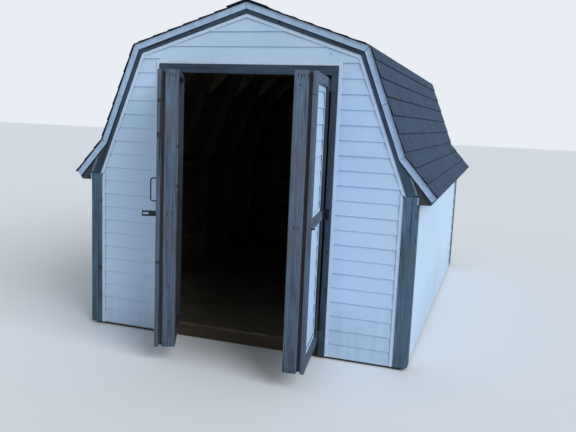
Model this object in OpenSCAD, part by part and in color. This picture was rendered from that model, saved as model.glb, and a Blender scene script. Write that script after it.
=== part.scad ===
// Gambrel garden shed with bell-cast eaves, vinyl siding and a pair of open plank-framed doors.
// +X runs to the right of someone facing the doors, +Y from the doors to the back wall, +Z up.
// The origin is on the ground in the middle of the floor. Sizes are in millimetres.

/* [Frame] */
// Width over the wall studs
frame_w = 2438; // [1800:1:3000]
// Length over the wall studs
frame_l = 3658; // [2400:1:4900]
// Height of the wall plates above the ground
wall_h = 1235; // [1000:1:1500]
// Thickness of the framing timber
timber_t = 38; // [30:1:50]
// Depth of the framing timber, which is also the width of the flat corner boards
timber_d = 89; // [70:1:100]
// Thickness of the flat trim boards
trim_t = 19; // [15:1:45]
// Greatest spacing of studs and rafters along the shed
stud_pitch = 610; // [400:1:700]
// Greatest spacing of the floor joists
joist_pitch = 406; // [300:1:450]
// Greatest spacing of the studs in the back wall
back_stud_pitch = 406; // [300:1:620]
// Thickness of the floor deck
deck_t = 18; // [12:1:25]
// Thickness of the wall sheathing
sheathing_t = 12; // [9:1:19]
// Stand-off of the siding in front of the sheathing
siding_t = 12; // [8:1:20]
// Height of the lower edge of sheathing, siding and trim above the ground
skirt_z = 20; // [0:1:60]

/* [Roof] */
// Distance of the roof's knee inward from the faces of the wall studs
knee_in = 348; // [250:1:500]
// Slope of the upper roof
upper_pitch = 18.5; // [12:0.1:30]
// Slope of the lower roof
lower_pitch = 68.6; // [62:0.1:74]
// Slope of the flared eave
flare_pitch = 48.8; // [40:0.1:55]
// Height above the wall plates at which the flare leaves the lower roof
flare_rise = 217; // [150:1:350]
// Length of the flared eave down its slope
flare_l = 339; // [250:1:420]
// Thickness of the roof boards
board_t = 12; // [9:1:19]
// Thickness of the lapped shingles
shingle_t = 11; // [6:1:16]
// Distance that the shingles stand past the white rake strips
shingle_over = 10; // [0:1:25]
// Half length of the ridge cap's cover over each slope
cap_w = 150; // [100:1:200]
// Thickness of the ridge cap
cap_t = 6; // [4:1:10]
// Width of the white rake strips
rake_w = 44; // [30:1:60]
// Thickness of the white rake strips
rake_t = 6; // [4:1:45]
// Width from the roof face to the inner edge of the gable trim
gable_trim_w = 73; // [60:1:100]
// Distance of the boxed eave's level underside below the top of the wall plates
soffit_drop = 91; // [40:1:150]
// Distance of the eave board's foot from the siding
eave_out = 89; // [60:1:150]
// Thickness of the eave's soffit
soffit_t = 12; // [9:1:25]
// Distance that the eave's end boards are set back behind the gable trim's face
eave_end_setback = 7; // [0:1:12]
// Thickness of the plywood plates on the rafter knees
gusset_t = 12; // [9:1:19]
// Length of a knee plate along each rafter
gusset_l = 230; // [150:1:320]

/* [Doorway] */
// Clear width between the door casings
opening_w = 1248; // [900:1:1300]
// Height of the head casing's lower edge above the wall plates
opening_rise = 729; // [500:1:740]
// Width of the casing at the two sides of the doorway
casing_w = 46; // [30:1:100]
// Height of the head casing over the doorway
head_w = 64; // [40:1:100]
// Height of the front and back corner boards' tops above the boxed eave's underside
corner_rise = 49; // [10:1:60]

/* [Doors] */
// Clearance between the free edges of the closed doors
door_gap = 23; // [12:0.5:30]
// Height of a door's lower edge above the ground
door_foot = 115; // [115:1:400]
// Clearance above a door
door_top_gap = 19; // [6:1:30]
// Clearance between a casing and its door
hinge_gap = 6; // [5:0.5:10]
// Thickness of the stiles and rails on a door's face
face_frame_t = 28; // [15:1:40]
// Width of the stiles and rails on a door's face
face_rail_w = 64; // [50:1:100]
// Height of the middle rail on a door's face
mid_rail_w = 64; // [50:1:100]
// Thickness of the plywood skin inside a door
skin_t = 21; // [4:1:25]
// Distance that the skin is set back from the door's edges
skin_inset = 12; // [0:1:20]
// Depth of the siding in the door's two panels
panel_t = 12; // [6:1:25]
// Angle of the left door from closed, as it stands
left_open = 65.6; // [0:0.1:160]
// Angle of the right door from closed, as it stands
right_open = 98.3; // [0:0.1:160]

/* [Hardware] */
// Distance of the hinge pins in front of the door's face
pin_out = 5; // [4.5:0.5:8]
// Radius of a hinge pin
pin_r = 2.5; // [2:0.1:3]
// Radial clearance round a hinge pin
pin_play = 0.06; // [0.02:0.01:0.1]
// Radius of a hinge knuckle
knuckle_r = 4.5; // [4:0.1:6]
// Height of a hinge
hinge_h = 76; // [50:1:100]
// Distance of the middle of an end hinge from the end of its door
hinge_inset = 50; // [50:1:120]
// Width of a hinge leaf
hinge_leaf_w = 34; // [25:1:45]
// Thickness of a hinge leaf
leaf_t = 2.5; // [1.5:0.1:4]
// Height of the middle of the pull above the middle of the door
pull_rise = 142.5; // [110:0.5:400]
// Length of the pull between the middles of its legs
pull_l = 150; // [100:1:200]
// Distance of the pull's grip from the door's face
pull_out = 37; // [25:1:50]
// Thickness of the pull's rod
pull_d = 9; // [6:1:14]
// Distance from the door's free edge to the pull
pull_edge = 44; // [25:1:60]
// Distance of the middle of the hasp below the middle of the door
hasp_drop = 10; // [0:1:40]
// Length of the hasp's strap
hasp_l = 84; // [82:1:100]
// Height of the hasp's strap
hasp_h = 36; // [25:1:45]
// Thickness of the hasp's strap
hasp_t = 3; // [2:0.5:4]
// Length of the slot in the strap
slot_l = 36; // [28:1:40]
// Height of the slot in the strap
slot_h = 13; // [11:0.5:16]
// Distance from the strap's pin to the middle of its slot
slot_reach = 60; // [52:1:66]
// Distance from the door's free edge to the strap's pin
hasp_edge = 9; // [7:0.5:14]
// Thickness of the staple's rod
staple_d = 6; // [4:0.5:7]
// Gap inside the staple, which is also its reach past the strap
staple_gap = 14; // [10:1:20]

/* [Hidden] */

joint = 0.5;            // dry joint between two pieces of one set
seat = 0.3;             // clearance of sloping faces that lie on each other, and under the ridge board
big = 6000;             // longer than anything in the shed
half_w = frame_w / 2;
half_l = frame_l / 2;
wall_x = half_w + sheathing_t;
wall_y = half_l + sheathing_t;
side_x = wall_x + siding_t;
trim_y = wall_y + trim_t;
rake_y = trim_y + rake_t;
room_x = half_w - timber_d;
room_y = half_l - timber_d;
joist_top = timber_d;
floor_z = joist_top + deck_t;
sole_top = floor_z + timber_t;
plate_z = wall_h - 2 * timber_t;
soffit_z = wall_h - soffit_drop;
eave_foot_x = side_x + eave_out;
opening_top = wall_h + opening_rise;
corner_top = soffit_z + corner_rise;
opening_x = opening_w / 2;
casing_x = opening_x + casing_w;
corner_x = side_x - timber_d;
head_top = opening_top + head_w;
header_top = opening_top + timber_d;

// The roof's face is the outside of its boards. A depth is measured square to it, inward.
tan_up = tan(upper_pitch);
tan_low = tan(lower_pitch);
tan_flare = tan(flare_pitch);
knee_x = half_w - knee_in;
flare_z = wall_h + flare_rise;
rafter_out = board_t + seat;
rafter_in = rafter_out + timber_d;
// The lower roof's boards meet the top outer corner of the wall plates
lower_foot_x = half_w + board_t / sin(lower_pitch);
knee_z = wall_h + (lower_foot_x - knee_x) * tan_low;
ridge_z = knee_z + knee_x * tan_up;

function upper_z(x, depth) = ridge_z - x * tan_up - depth / cos(upper_pitch);
function lower_x(z, depth) = knee_x + (knee_z - z) / tan_low - depth / sin(lower_pitch);
function lower_z(x, depth) = knee_z + (knee_x - x - depth / sin(lower_pitch)) * tan_low;
function flare_line_z(x, depth) =
    flare_z - (x - lower_x(flare_z, 0)) * tan_flare - depth / cos(flare_pitch);
function knee(depth) =
    let (x = (ridge_z - depth / cos(upper_pitch) - knee_z - knee_x * tan_low
              + depth / sin(lower_pitch) * tan_low) / (tan_up - tan_low))
    [x, upper_z(x, depth)];
function crossing(lower_depth, flare_depth) =
    let (x = (lower_z(0, lower_depth) - flare_line_z(0, flare_depth)) / (tan_low - tan_flare))
    [x, lower_z(x, lower_depth)];
function eave(depth) =
    [lower_x(flare_z, 0), flare_z] + flare_l * [cos(flare_pitch), -sin(flare_pitch)]
    - depth * [sin(flare_pitch), cos(flare_pitch)];
function ridge(depth) = [0, upper_z(0, depth)];
function below_knee(depth) = toward(knee(depth), crossing(depth, depth), joint);
function flare_head(lower_depth, depth) = toward(crossing(lower_depth, depth), eave(depth), joint);
function mirrored(points) = [for (i = [len(points) - 1 : -1 : 0]) [-points[i][0], points[i][1]]];
function toward(from, to, step) = from + step * (to - from) / norm(to - from);
function evenly(low, high, pitch, multiple = 1) =
    let (bays = multiple * max(1, ceil((high - low) / pitch / multiple)))
    [for (i = [0 : bays]) low + i * (high - low) / bays];

boards_foot_z = lower_z(wall_x, board_t);
ridge_x = timber_t / 2;
ridge_board_z = upper_z(ridge_x, rafter_in);
// Boards and shingles are one piece, so the boards reach this far up into the shingles
lap = shingle_t / 2;
frame_ys = evenly(timber_t / 2 - half_l, half_l - timber_t / 2, stud_pitch);
joist_ys = evenly(timber_t / 2 - half_l, half_l - timber_t / 2, joist_pitch, 2);

door_z = door_foot;
door_h = opening_top - door_top_gap - door_z;
door_hinge_x = opening_x - hinge_gap;
door_free_x = door_gap / 2;
pin_x = opening_x - hinge_gap / 2;
pin_y = -trim_y - pin_out;
door_skin_y = -trim_y + face_frame_t;
door_back_y = door_skin_y + skin_t;
door_mid_z = door_z + door_h / 2;
hinge_zs = [door_z + door_h - hinge_inset, door_mid_z, door_z + hinge_inset];
knuckle_h = hinge_h / 5;
hasp_z = door_mid_z - hasp_drop;
pull_z = door_mid_z + pull_rise;
hasp_eye_h = hasp_h / 4;
strap_eye_h = hasp_h - 2 * hasp_eye_h - joint;
hasp_x = -door_free_x - hasp_edge;
hasp_y = -trim_y - knuckle_r;

wood = [0.42, 0.40, 0.38];
raw_wood = [0.50, 0.43, 0.34];
white_siding = [0.86, 0.88, 0.90];
shingle = [0.22, 0.23, 0.26];
white_metal = [0.90, 0.91, 0.93];
black_iron = [0.07, 0.07, 0.08];

// One side's piece, and its mirror image on the other
module both_sides() {
    children();
    mirror([1, 0, 0]) children();
}

// The front's piece, and its mirror image at the back
module both_ends() {
    children();
    mirror([0, 1, 0]) children();
}

// A shape drawn in X and Z, from y_from to y_to
module along_y(y_from, y_to) {
    translate([0, y_to, 0]) rotate([90, 0, 0]) linear_extrude(y_to - y_from) children();
}

// A box between two corners
module span(low, high) {
    translate(low) cube(high - low);
}

// A strip of the roof between two depths, from one pair of ends to another, clear at both ends
module run_strip(outer_a, outer_b, inner_b, inner_a) {
    polygon([toward(outer_a, outer_b, joint / 2), toward(outer_b, outer_a, joint / 2),
        toward(inner_b, inner_a, joint / 2), toward(inner_a, inner_b, joint / 2)]);
}

// A gable wall's outline, up to a depth under the face of the roof boards
module gable(depth, side) {
    right_half = [[side, skirt_z], [side, lower_z(side, depth)], knee(depth)];
    polygon(concat(right_half, [ridge(depth)], mirrored(right_half)));
}

// The siding's outline on a gable wall, inside the trim
module siding_field() {
    intersection() {
        gable(gable_trim_w + seat, lower_x(corner_top, gable_trim_w + seat));
        union() {
            translate([-corner_x, skirt_z]) square([2 * corner_x, corner_top - skirt_z]);
            translate([-big / 2, corner_top]) square([big, big]);
        }
    }
}

module floor_joists() {
    color(raw_wood) for (y = joist_ys) span([timber_t + joint - half_w, y - timber_t / 2, 0],
        [half_w - timber_t - joint, y + timber_t / 2, joist_top]);
}

module rim_joists() {
    color(raw_wood) both_sides() span([half_w - timber_t, -half_l, 0], [half_w, half_l, joist_top]);
}

module floor_deck() {
    color(raw_wood) span([-half_w, -half_l, joist_top], [half_w, half_l, floor_z]);
}

module wall_plates() {
    color(raw_wood) {
        both_sides() {
            span([room_x, -half_l, floor_z], [half_w, half_l, sole_top]);
            span([room_x, -half_l, plate_z], [half_w, half_l, wall_h]);
            span([opening_x, -half_l, floor_z], [room_x - joint, -room_y, sole_top]);
        }
        span([joint - room_x, room_y, floor_z], [room_x - joint, half_l, sole_top]);
    }
}

module side_studs() {
    for (y = frame_ys) span([room_x, y - timber_t / 2, sole_top], [half_w, y + timber_t / 2, plate_z]);
}

module left_wall_studs() {
    color(raw_wood) mirror([1, 0, 0]) side_studs();
}

module right_wall_studs() {
    color(raw_wood) side_studs();
}

// Studs of an end wall, cut to the slope of the rafters above them
module end_studs(lefts) {
    intersection() {
        gable(rafter_in + seat, room_x - joint);
        union() for (x = lefts) translate([x, sole_top])
            square([timber_t, ridge_board_z - seat - sole_top]);
    }
}

module front_wall_studs() {
    color(raw_wood) {
        along_y(-half_l, -room_y) {
            both_sides() {
                end_studs([opening_x + timber_t + joint, room_x - joint - timber_t]);
                translate([opening_x, sole_top]) square([timber_t, opening_top - sole_top]);
            }
            translate([-timber_t / 2, header_top])
                square([timber_t, ridge_board_z - seat - header_top]);
        }
    }
}

module back_wall_studs() {
    stud_x = room_x - joint - timber_t;
    color(raw_wood) along_y(room_y, half_l)
        end_studs(evenly(-room_x + joint, stud_x, back_stud_pitch, 2));
}

module door_header() {
    header_x = opening_x + timber_t;
    color(raw_wood) span([-header_x, -half_l, opening_top], [header_x, -room_y, header_top]);
}

module side_wall() {
    span([half_w, -half_l, skirt_z], [wall_x, half_l, boards_foot_z]);
}

module left_wall() {
    color(raw_wood) mirror([1, 0, 0]) side_wall();
}

module right_wall() {
    color(raw_wood) side_wall();
}

module back_wall() {
    color(raw_wood) along_y(half_l, wall_y) gable(board_t + seat, wall_x);
}

module front_wall_side() {
    along_y(-wall_y, -half_l) intersection() {
        gable(board_t + seat, wall_x);
        translate([opening_x, 0]) square([big, big]);
    }
}

module front_wall_left() {
    color(raw_wood) mirror([1, 0, 0]) front_wall_side();
}

module front_wall_right() {
    color(raw_wood) front_wall_side();
}

module front_wall_gable() {
    color(raw_wood) along_y(-wall_y, -half_l) intersection() {
        gable(board_t + seat, wall_x);
        translate([-opening_x, opening_top]) square([opening_w, big]);
    }
}

module side_siding() {
    span([wall_x, timber_d - wall_y, skirt_z], [side_x, wall_y - timber_d, soffit_z]);
}

module left_siding() {
    color(white_siding) mirror([1, 0, 0]) side_siding();
}

module right_siding() {
    color(white_siding) side_siding();
}

module back_siding() {
    color(white_siding) along_y(wall_y, wall_y + siding_t) siding_field();
}

module front_siding() {
    color(white_siding) along_y(-wall_y - siding_t, -wall_y) {
        both_sides() intersection() {
            siding_field();
            translate([casing_x, 0]) square([big, big]);
        }
        intersection() {
            siding_field();
            translate([joint - casing_x, head_top]) square([2 * (casing_x - joint), big]);
        }
    }
}

module rafter_pair() {
    lower_foot = [lower_x(wall_h, rafter_out), wall_h];
    run_strip(knee(rafter_out), lower_foot, [lower_x(wall_h, rafter_in), wall_h], knee(rafter_in));
    run_strip([ridge_x, upper_z(ridge_x, rafter_out)], knee(rafter_out), knee(rafter_in),
        [ridge_x, upper_z(ridge_x, rafter_in)]);
}

module rafters() {
    for (y = frame_ys) along_y(y - timber_t / 2, y + timber_t / 2) rafter_pair();
}

module left_rafters() {
    color(raw_wood) mirror([1, 0, 0]) rafters();
}

module right_rafters() {
    color(raw_wood) rafters();
}

module ridge_board() {
    color(raw_wood) along_y(-half_l, half_l) translate([-ridge_x, ridge_board_z])
        square([timber_t, upper_z(ridge_x, rafter_out) - ridge_board_z]);
}

// Plywood plate that ties a lower rafter to its upper rafter, on the rafter's far side
module knee_plate() {
    outer = knee(rafter_out);
    inner = knee(rafter_in);
    along_y(0, gusset_t) polygon([toward(outer, ridge(rafter_out), gusset_l), outer,
        toward(outer, [lower_x(wall_h, rafter_out), wall_h], gusset_l),
        toward(inner, [lower_x(wall_h, rafter_in), wall_h], gusset_l),
        toward(inner, ridge(rafter_in), gusset_l)]);
}

module knee_plates() {
    last = len(frame_ys) - 1;
    color(raw_wood) both_sides() for (i = [1 : last - 1])
        translate([0, frame_ys[i] + timber_t / 2, 0]) knee_plate();
}

// The boards stop behind the white rake strips, and the shingles run on over them
module upper_roof() {
    along_y(-trim_y, trim_y)
        polygon([ridge(-lap), knee(-lap), knee(board_t), ridge(board_t)]);
    along_y(-rake_y - shingle_over, rake_y + shingle_over)
        polygon([ridge(-shingle_t), knee(-shingle_t), knee(0), ridge(0)]);
}

module lower_roof() {
    boards_foot = [wall_x, boards_foot_z];
    along_y(-trim_y, trim_y) polygon([below_knee(-lap), crossing(-lap, -lap), crossing(0, 0),
        [lower_x(boards_foot_z, 0), boards_foot_z], boards_foot,
        toward(knee(board_t), boards_foot, joint)]);
    along_y(-rake_y - shingle_over, rake_y + shingle_over) polygon([below_knee(-shingle_t),
        crossing(-shingle_t, -shingle_t), crossing(0, 0), below_knee(0)]);
}

module flared_eave() {
    along_y(-trim_y, trim_y) polygon([flare_head(-lap, -lap), eave(-lap), eave(board_t),
        flare_head(0, board_t), flare_head(0, 0)]);
    along_y(-rake_y - shingle_over, rake_y + shingle_over)
        polygon([flare_head(-shingle_t, -shingle_t), eave(-shingle_t), eave(0), flare_head(0, 0)]);
}

module left_upper_roof() {
    color(shingle) mirror([1, 0, 0]) upper_roof();
}

module right_upper_roof() {
    color(shingle) upper_roof();
}

module left_lower_roof() {
    color(shingle) mirror([1, 0, 0]) lower_roof();
}

module right_lower_roof() {
    color(shingle) lower_roof();
}

module left_flared_eave() {
    color(shingle) mirror([1, 0, 0]) flared_eave();
}

module right_flared_eave() {
    color(shingle) flared_eave();
}

module ridge_cap() {
    under = -shingle_t - seat;
    over = under - cap_t;
    middle = joint / 2;
    color(shingle) both_sides() along_y(-rake_y - shingle_over, rake_y + shingle_over)
        polygon([[middle, upper_z(middle, over)], [cap_w, upper_z(cap_w, over)],
            [cap_w, upper_z(cap_w, under)], [middle, upper_z(middle, under)]]);
}

module rake_strips() {
    color(white_metal) both_ends() both_sides() along_y(-rake_y, -trim_y) {
        run_strip(ridge(seat), knee(seat), knee(rake_w), ridge(rake_w));
        run_strip(knee(seat), crossing(seat, seat), crossing(rake_w, rake_w), knee(rake_w));
        run_strip(crossing(seat, seat), eave(seat), eave(rake_w), crossing(rake_w, rake_w));
    }
}

module gable_trim() {
    foot_z = corner_top + joint;
    color(wood) both_ends() both_sides() along_y(-trim_y, -wall_y) {
        run_strip(ridge(rafter_out), knee(rafter_out), knee(gable_trim_w), ridge(gable_trim_w));
        polygon([toward(knee(rafter_out), [lower_x(foot_z, rafter_out), foot_z], joint / 2),
            [lower_x(foot_z, rafter_out), foot_z], [lower_x(foot_z, gable_trim_w), foot_z],
            toward(knee(gable_trim_w), [lower_x(foot_z, gable_trim_w), foot_z], joint / 2)]);
    }
}

// The board that closes the triangle between the lower roof, the flare and the soffit
module eave_end_boards() {
    wall_edge = side_x + joint;
    color(wood) both_ends() both_sides() along_y(eave_end_setback - trim_y, -wall_y)
        polygon([crossing(-seat, board_t + seat), eave(board_t + seat), [eave_foot_x, soffit_z],
            [wall_edge, soffit_z], [wall_edge, boards_foot_z - joint],
            [lower_x(boards_foot_z - joint, -seat), boards_foot_z - joint]]);
}

module eave_boards() {
    back_x = eave_foot_x - timber_t;
    color(wood) both_sides() along_y(-wall_y, wall_y) polygon([eave(board_t + seat),
        [eave_foot_x, soffit_z], [back_x, soffit_z], [back_x, flare_line_z(back_x, board_t + seat)]]);
}

module eave_soffits() {
    color(wood) both_sides() span([wall_x, -wall_y, soffit_z],
        [eave_foot_x - timber_t, wall_y, soffit_z + soffit_t]);
}

module corner_boards() {
    color(wood) both_ends() both_sides() {
        span([corner_x, -trim_y, skirt_z], [side_x, -wall_y, corner_top]);
        span([wall_x, -wall_y + joint, skirt_z], [wall_x + trim_t, timber_d - wall_y, soffit_z]);
    }
}

module door_casing() {
    color(wood) {
        both_sides() span([opening_x, -trim_y, skirt_z], [casing_x, -wall_y, opening_top - joint]);
        span([-casing_x, -trim_y, opening_top], [casing_x, -wall_y, head_top]);
    }
}

// What is drawn with the left door closed, turned to where the door stands
module left_swing() {
    translate([-pin_x, pin_y, 0]) rotate([0, 0, -left_open]) translate([pin_x, -pin_y, 0]) children();
}

// What is drawn with the right door closed, turned to where the door stands
module right_swing() {
    translate([pin_x, pin_y, 0]) rotate([0, 0, right_open]) translate([-pin_x, -pin_y, 0]) children();
}

// Two stiles with three rails between them, on the left door
module door_frame(stile_w, rail_w, middle_w, y_from, y_to) {
    rail_x = [-door_hinge_x + stile_w + joint, -door_free_x - stile_w - joint];
    span([-door_hinge_x, y_from, door_z], [-door_hinge_x + stile_w, y_to, door_z + door_h]);
    span([-door_free_x - stile_w, y_from, door_z], [-door_free_x, y_to, door_z + door_h]);
    for (rail = [[door_z, rail_w], [door_mid_z - middle_w / 2, middle_w],
            [door_z + door_h - rail_w, rail_w]])
        span([rail_x[0], y_from, rail[0]], [rail_x[1], y_to, rail[0] + rail[1]]);
}

module door_back_frame() {
    door_frame(timber_t, timber_t, timber_t, door_back_y, door_back_y + timber_d);
}

module door_face_frame() {
    door_frame(face_rail_w, face_rail_w, mid_rail_w, -trim_y, door_skin_y);
}

module door_skin() {
    span([-door_hinge_x + skin_inset, door_skin_y, door_z + skin_inset],
        [-door_free_x - skin_inset, door_back_y, door_z + door_h - skin_inset]);
}

module door_panels() {
    panel_x = [-door_hinge_x + face_rail_w + joint, -door_free_x - face_rail_w - joint];
    low = door_z + face_rail_w + joint;
    high = door_mid_z - mid_rail_w / 2 - joint;
    for (z = [low, 2 * door_mid_z - high])
        span([panel_x[0], door_skin_y - panel_t, z], [panel_x[1], door_skin_y, z + high - low]);
}

// The flat plate of a hinge leaf, on the face of the timber
module hinge_plate(z, x_from, x_to) {
    span([x_from, -trim_y - leaf_t, z - hinge_h / 2], [x_to, -trim_y, z + hinge_h / 2]);
}

// Leaf on the casing at the left, with the knuckles at its two ends and the pin
module casing_leaf(z) {
    difference() {
        hinge_plate(z, -pin_x - hinge_leaf_w, -pin_x);
        translate([-pin_x, pin_y, z - hinge_h / 2 + knuckle_h - joint])
            cylinder(h = hinge_h - 2 * knuckle_h + 2 * joint, r = knuckle_r + joint, $fn = 24);
    }
    for (end = [-1, 1]) translate([-pin_x, pin_y, z + end * (hinge_h - knuckle_h) / 2])
        cylinder(h = knuckle_h, r = knuckle_r, center = true, $fn = 24);
    translate([-pin_x, pin_y, z - hinge_h / 2]) cylinder(h = hinge_h, r = pin_r, $fn = 24);
}

// Leaf on the left door, with the long middle knuckle
module door_leaf(z) {
    difference() {
        union() {
            difference() {
                hinge_plate(z, -pin_x, -pin_x + hinge_leaf_w);
                for (end = [-1, 1]) translate([-pin_x, pin_y, z + end * (hinge_h - knuckle_h) / 2])
                    cylinder(h = knuckle_h + 2 * joint, r = knuckle_r + joint, center = true, $fn = 24);
            }
            translate([-pin_x, pin_y, z])
                cylinder(h = hinge_h - 2 * knuckle_h - joint, r = knuckle_r, center = true, $fn = 24);
        }
        translate([-pin_x, pin_y, z])
            cylinder(h = 2 * hinge_h, r = pin_r + pin_play, center = true, $fn = 24);
    }
}

module casing_hinge_leaves() {
    color(black_iron) both_sides() for (z = hinge_zs) casing_leaf(z);
}

module left_door_back_frame() {
    color(raw_wood) left_swing() door_back_frame();
}

module left_door_skin() {
    color(raw_wood) left_swing() door_skin();
}

module left_door_face_frame() {
    color(wood) left_swing() door_face_frame();
}

module left_door_siding() {
    color(white_siding) left_swing() door_panels();
}

module left_door_hinge_leaves() {
    color(black_iron) left_swing() for (z = hinge_zs) door_leaf(z);
}

module right_door_back_frame() {
    color(raw_wood) right_swing() mirror([1, 0, 0]) door_back_frame();
}

module right_door_skin() {
    color(raw_wood) right_swing() mirror([1, 0, 0]) door_skin();
}

module right_door_face_frame() {
    color(wood) right_swing() mirror([1, 0, 0]) door_face_frame();
}

module right_door_siding() {
    color(white_siding) right_swing() mirror([1, 0, 0]) door_panels();
}

module right_door_hinge_leaves() {
    color(black_iron) right_swing() mirror([1, 0, 0]) for (z = hinge_zs) door_leaf(z);
}

// A rod pull: a grip that stands off the door on two legs
module door_pull() {
    x = -door_free_x - pull_edge;
    r = pull_d / 2;
    color(black_iron) left_swing() {
        for (end = [-1, 1]) {
            translate([x, -trim_y - pull_out, pull_z + end * pull_l / 2])
                rotate([-90, 0, 0]) cylinder(h = pull_out, r = r, $fn = 24);
            translate([x, -trim_y - pull_out, pull_z + end * pull_l / 2]) sphere(r, $fn = 24);
        }
        translate([x, -trim_y - pull_out, pull_z]) cylinder(h = pull_l, r = r, center = true, $fn = 24);
    }
}

// The hasp's fixed half: a plate on the left door's free stile, with an eye at each end
module hasp_plate() {
    color(black_iron) left_swing() {
        difference() {
            span([hasp_x - hinge_leaf_w, -trim_y - leaf_t, hasp_z - hasp_h / 2],
                [hasp_x, -trim_y, hasp_z + hasp_h / 2]);
            translate([hasp_x, hasp_y, hasp_z])
                cylinder(h = strap_eye_h + 3 * joint, r = knuckle_r + joint, center = true, $fn = 24);
        }
        for (end = [-1, 1]) translate([hasp_x, hasp_y, hasp_z + end * (hasp_h - hasp_eye_h) / 2])
            cylinder(h = hasp_eye_h, r = knuckle_r - joint, center = true, $fn = 24);
        translate([hasp_x, hasp_y, hasp_z]) cylinder(h = hasp_h, r = pin_r, center = true, $fn = 24);
    }
}

// The hasp's slotted strap, which stands square to the door
module hasp_strap() {
    color(black_iron) left_swing() difference() {
        union() {
            translate([hasp_x, hasp_y, hasp_z])
                cylinder(h = strap_eye_h, r = knuckle_r - joint, center = true, $fn = 24);
            span([hasp_x - hasp_t / 2, hasp_y - knuckle_r, hasp_z - strap_eye_h / 2],
                [hasp_x + hasp_t / 2, hasp_y, hasp_z + strap_eye_h / 2]);
            span([hasp_x - hasp_t / 2, hasp_y - hasp_l, hasp_z - hasp_h / 2],
                [hasp_x + hasp_t / 2, hasp_y - knuckle_r, hasp_z + hasp_h / 2]);
        }
        translate([hasp_x, hasp_y, hasp_z])
            cylinder(h = hasp_h, r = pin_r + pin_play, center = true, $fn = 24);
        translate([hasp_x - hasp_t, hasp_y - slot_reach - slot_l / 2, hasp_z - slot_h / 2])
            cube([2 * hasp_t, slot_l, slot_h]);
    }
}

// The staple on the right door, which the closed strap's slot passes over
module hasp_staple() {
    r = staple_d / 2;
    gap_x = (slot_l - staple_d) / 2 - staple_d;
    middle_x = hasp_x + slot_reach;
    out = knuckle_r + hasp_t + staple_gap;
    color(black_iron) right_swing() {
        for (end = [-1, 1]) translate([middle_x + end * gap_x, -trim_y - out, hasp_z]) {
            rotate([-90, 0, 0]) cylinder(h = out, r = r, $fn = 24);
            sphere(r, $fn = 24);
        }
        translate([middle_x, -trim_y - out, hasp_z])
            rotate([0, 90, 0]) cylinder(h = 2 * gap_x, r = r, center = true, $fn = 24);
    }
}

floor_joists();
rim_joists();
floor_deck();
wall_plates();
left_wall_studs();
right_wall_studs();
front_wall_studs();
back_wall_studs();
door_header();
left_wall();
right_wall();
back_wall();
front_wall_left();
front_wall_right();
front_wall_gable();
left_siding();
right_siding();
back_siding();
front_siding();
left_rafters();
right_rafters();
ridge_board();
knee_plates();
left_upper_roof();
right_upper_roof();
left_lower_roof();
right_lower_roof();
left_flared_eave();
right_flared_eave();
ridge_cap();
rake_strips();
gable_trim();
eave_end_boards();
eave_boards();
eave_soffits();
corner_boards();
door_casing();
casing_hinge_leaves();
left_door_back_frame();
left_door_skin();
left_door_face_frame();
left_door_siding();
left_door_hinge_leaves();
door_pull();
hasp_plate();
hasp_strap();
right_door_back_frame();
right_door_skin();
right_door_face_frame();
right_door_siding();
right_door_hinge_leaves();
hasp_staple();
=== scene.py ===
import math
import random

import bmesh
import bpy
from mathutils import Matrix, Vector


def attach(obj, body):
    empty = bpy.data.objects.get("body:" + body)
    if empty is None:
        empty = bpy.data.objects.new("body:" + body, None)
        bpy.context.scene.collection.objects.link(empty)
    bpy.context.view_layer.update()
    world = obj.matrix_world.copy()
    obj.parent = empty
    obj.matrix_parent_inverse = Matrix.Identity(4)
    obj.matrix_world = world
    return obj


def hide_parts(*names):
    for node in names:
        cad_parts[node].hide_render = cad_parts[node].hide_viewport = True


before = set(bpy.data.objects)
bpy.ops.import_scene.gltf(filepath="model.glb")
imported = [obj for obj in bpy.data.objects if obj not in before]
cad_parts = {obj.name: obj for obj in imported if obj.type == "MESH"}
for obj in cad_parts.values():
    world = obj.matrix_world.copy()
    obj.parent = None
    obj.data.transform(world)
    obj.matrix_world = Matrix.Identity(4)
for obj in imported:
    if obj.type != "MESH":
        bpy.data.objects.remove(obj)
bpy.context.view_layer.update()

# Floor framing. Kiln-dried spruce joists stand on edge between two rim joists.
# Sawn smooth, nailed through the rims, and gone brown under the deck.


def linear(code):
    """A written sRGB colour as the linear colour that a shader takes."""
    parts = [int(code[i:i + 2], 16) / 255 for i in (1, 3, 5)]
    return [c / 12.92 if c <= 0.04045 else ((c + 0.055) / 1.055) ** 2.4 for c in parts] + [1.0]


def adder(tree):
    """The function that adds one node to a tree. Its kind may end in an operation. The list fills its live
    inputs in order, names with a capital are inputs too, and the other names are settings. An input that
    is given a socket is linked. It gives the first live output, another one, or all of them."""
    def add(kind, inputs=(), out=None, stops=(), **named):
        kind, _, operation = kind.partition(" ")
        made = tree.nodes.new(kind if "Node" in kind else "ShaderNode" + kind)
        if operation:
            setattr(made, "data_type" if kind == "Mix" else "operation", operation)
        for name in filter(str.islower, named):
            setattr(made, name, named[name])
        for spare in stops[2:]:
            made.color_ramp.elements.new(0.5)
        for mark, (position, code) in zip(made.color_ramp.elements if stops else (), stops):
            mark.position = position
            mark.color = linear(code)
        given = list(zip([socket for socket in made.inputs if socket.enabled], inputs))
        given += [(made.inputs[name.replace("_", " ")], named[name]) for name in named if not name.islower()]
        for socket, value in given:
            if isinstance(value, bpy.types.NodeSocket):
                tree.links.new(value, socket)
            else:
                socket.default_value = linear(value) if str(value)[:1] == "#" else value
        if out == "all":
            return made.outputs
        return made.outputs[out] if out else next((s for s in made.outputs if s.enabled), None)
    return add


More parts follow.
